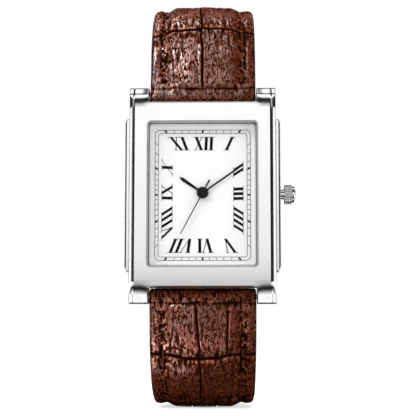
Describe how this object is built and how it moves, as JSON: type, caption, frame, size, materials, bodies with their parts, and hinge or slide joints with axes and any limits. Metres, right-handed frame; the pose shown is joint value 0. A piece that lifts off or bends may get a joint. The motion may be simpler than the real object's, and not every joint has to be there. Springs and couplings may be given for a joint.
{
  "type": "wristwatch",
  "caption": "Rectangular quartz dress wristwatch with a Roman dial, side crown and buckled padded leather strap.",
  "frame": {"origin": "centre of the case back's outer face", "axes": "+X towards the crown (3 o'clock), +Y out of the case back towards the wrist, +Z towards 12 o'clock"},
  "size_m": [0.0288, 0.0413, 0.0718],
  "materials": {
    "polished_steel": "mirror polished steel",
    "case_back_steel": "brushed steel",
    "crystal_glass": "clear mineral glass",
    "clear_gasket": "translucent white plastic",
    "flange_steel": "satin silver",
    "dial_white": "white lacquer",
    "dial_ink": "printed black",
    "hand_black": "black lacquer",
    "holder_plastic": "moulded ivory plastic",
    "movement_brass": "machined brass",
    "movement_steel": "machined steel",
    "magnet": "sintered magnet",
    "soft_iron": "stamped soft iron",
    "copper_winding": "enamelled copper wire",
    "board_green": "green solder mask",
    "cell_steel": "plated steel can",
    "seal_rubber": "black rubber",
    "strap_leather": "glossy reddish brown, crocodile embossed",
    "strap_lining": "matte brown lining",
    "strap_padding": "felt filler",
    "keeper_leather": "glossy reddish brown"
  },
  "bodies": {
    "case": {"case_body": "polished_steel", "crystal": "crystal_glass", "crystal_gasket": "clear_gasket", "inner_flange": "flange_steel", "dial": "dial_white", "dial_print": "dial_ink", "movement_holder": "holder_plastic", "main_plate": "movement_brass", "train_bridge": "movement_steel", "bridge_screws": "movement_steel", "stator": "soft_iron", "coil": "copper_winding", "circuit_board": "board_green", "quartz_can": "movement_steel", "battery": "cell_steel", "battery_clip": "movement_steel", "crown_tube": "polished_steel", "case_back": "case_back_steel", "case_back_gasket": "seal_rubber", "case_back_screws": "movement_steel", "upper_spring_bar": "movement_steel", "lower_spring_bar": "movement_steel", "upper_rolled_end": "strap_leather", "upper_strap_leather": "strap_leather", "upper_strap_padding": "strap_padding", "upper_strap_lining": "strap_lining", "buckle_loop": "strap_leather", "lower_rolled_end": "strap_leather", "lower_strap_leather": "strap_leather", "lower_strap_padding": "strap_padding", "lower_strap_lining": "strap_lining", "fixed_keeper": "keeper_leather", "buckle_bar": "movement_steel"},
    "seconds": {"seconds_wheel": "movement_brass", "seconds_hand": "hand_black"},
    "minutes": {"centre_wheel": "movement_brass", "minute_hand": "hand_black"},
    "hours": {"hour_wheel": "movement_brass", "hour_hand": "hand_black"},
    "minute_work": {"minute_wheel": "movement_brass"},
    "third": {"third_wheel": "movement_brass"},
    "fifth": {"fifth_wheel": "movement_brass"},
    "rotor": {"rotor": "magnet"},
    "setting_wheel": {"setting_wheel": "movement_brass"},
    "crown_seal": {"crown_gasket": "seal_rubber"},
    "crown": {"crown": "polished_steel", "stem": "movement_steel"},
    "clutch": {"clutch_pinion": "movement_brass"},
    "setting_lever": {"setting_lever": "movement_steel"},
    "yoke": {"yoke": "movement_steel"},
    "upper_left_tip": {"upper_left_tip": "movement_steel"},
    "upper_right_tip": {"upper_right_tip": "movement_steel"},
    "lower_left_tip": {"lower_left_tip": "movement_steel"},
    "lower_right_tip": {"lower_right_tip": "movement_steel"},
    "sliding_keeper": {"sliding_keeper": "keeper_leather"},
    "buckle_frame": {"buckle_frame": "polished_steel"},
    "buckle_tongue": {"buckle_tongue": "polished_steel"}
  },
  "joints": [
    {"name": "seconds_turn", "type": "hinge", "parent": "case", "child": "seconds", "pos_m": [0, -0.003, 0.0003], "axis": [0, 1, 0], "continuous": true},
    {"name": "minutes_turn", "type": "hinge", "parent": "case", "child": "minutes", "pos_m": [0, -0.003, 0.0003], "axis": [0, 1, 0], "continuous": true},
    {"name": "hours_turn", "type": "hinge", "parent": "case", "child": "hours", "pos_m": [0, -0.003, 0.0003], "axis": [0, 1, 0], "continuous": true},
    {"name": "minute_work_turn", "type": "hinge", "parent": "case", "child": "minute_work", "pos_m": [0.00235, -0.004, -0.0002], "axis": [0, 1, 0], "continuous": true},
    {"name": "third_turn", "type": "hinge", "parent": "case", "child": "third", "pos_m": [-0.00265, -0.003, 0.00183], "axis": [0, 1, 0], "continuous": true},
    {"name": "fifth_turn", "type": "hinge", "parent": "case", "child": "fifth", "pos_m": [0.00054, -0.003, 0.00335], "axis": [0, 1, 0], "continuous": true},
    {"name": "rotor_turn", "type": "hinge", "parent": "case", "child": "rotor", "pos_m": [0.00173, -0.003, 0.00541], "axis": [0, 1, 0], "continuous": true},
    {"name": "setting_wheel_turn", "type": "hinge", "parent": "case", "child": "setting_wheel", "pos_m": [0.00485, -0.004, -0.0002], "axis": [0, 1, 0], "continuous": true},
    {"name": "crown_pull", "type": "slide", "parent": "case", "child": "crown_seal", "axis": [1, 0, 0], "range_m": [0, 0.0008]},
    {"name": "crown_turn", "type": "hinge", "parent": "crown_seal", "child": "crown", "pos_m": [0.0138, -0.00275, 0.0003], "axis": [1, 0, 0], "continuous": true},
    {"name": "clutch_shift", "type": "slide", "parent": "crown", "child": "clutch", "axis": [1, 0, 0], "range_m": [-0.0012, 0]},
    {"name": "setting_lever_swing", "type": "hinge", "parent": "case", "child": "setting_lever", "pos_m": [0.006, -0.0021, 0.0019], "axis": [0, 1, 0], "range_deg": [-35.9, 0]},
    {"name": "yoke_swing", "type": "hinge", "parent": "case", "child": "yoke", "pos_m": [0.00375, -0.002, -0.002], "axis": [0, 1, 0], "range_deg": [-13.3, 0]},
    {"name": "upper_left_tip_press", "type": "slide", "parent": "case", "child": "upper_left_tip", "axis": [1, 0, 0], "range_m": [0, 0.0008], "stiffness_N_per_m": 500},
    {"name": "upper_right_tip_press", "type": "slide", "parent": "case", "child": "upper_right_tip", "axis": [-1, 0, 0], "range_m": [0, 0.0008], "stiffness_N_per_m": 500},
    {"name": "lower_left_tip_press", "type": "slide", "parent": "case", "child": "lower_left_tip", "axis": [1, 0, 0], "range_m": [0, 0.0008], "stiffness_N_per_m": 500},
    {"name": "lower_right_tip_press", "type": "slide", "parent": "case", "child": "lower_right_tip", "axis": [-1, 0, 0], "range_m": [0, 0.0008], "stiffness_N_per_m": 500},
    {"name": "keeper_slide", "type": "slide", "parent": "case", "child": "sliding_keeper", "axis": [0, 0, 1], "range_m": [-0.0016, 0.0026]},
    {"name": "buckle_swing", "type": "hinge", "parent": "case", "child": "buckle_frame", "pos_m": [0, 0.02977, -0.0033], "axis": [1, 0, 0], "range_deg": [0, 3]},
    {"name": "tongue_swing", "type": "hinge", "parent": "buckle_frame", "child": "buckle_tongue", "pos_m": [0, 0.02977, -0.0033], "axis": [1, 0, 0], "range_deg": [0, 3]}
  ],
  "couplings": [
    {"joint": "minutes_turn", "follows": "seconds_turn", "ratio": 0.016667},
    {"joint": "hours_turn", "follows": "seconds_turn", "ratio": 0.0013889},
    {"joint": "minute_work_turn", "follows": "seconds_turn", "ratio": -0.0055556},
    {"joint": "third_turn", "follows": "seconds_turn", "ratio": -0.13333},
    {"joint": "fifth_turn", "follows": "seconds_turn", "ratio": -4},
    {"joint": "rotor_turn", "follows": "seconds_turn", "ratio": 30},
    {"joint": "setting_wheel_turn", "follows": "seconds_turn", "ratio": 0.014286},
    {"joint": "clutch_shift", "follows": "crown_pull", "ratio": -1.5},
    {"joint": "setting_lever_swing", "follows": "crown_pull", "rad_per_m": -781.03},
    {"joint": "yoke_swing", "follows": "crown_pull", "rad_per_m": -287.98}
  ]
}
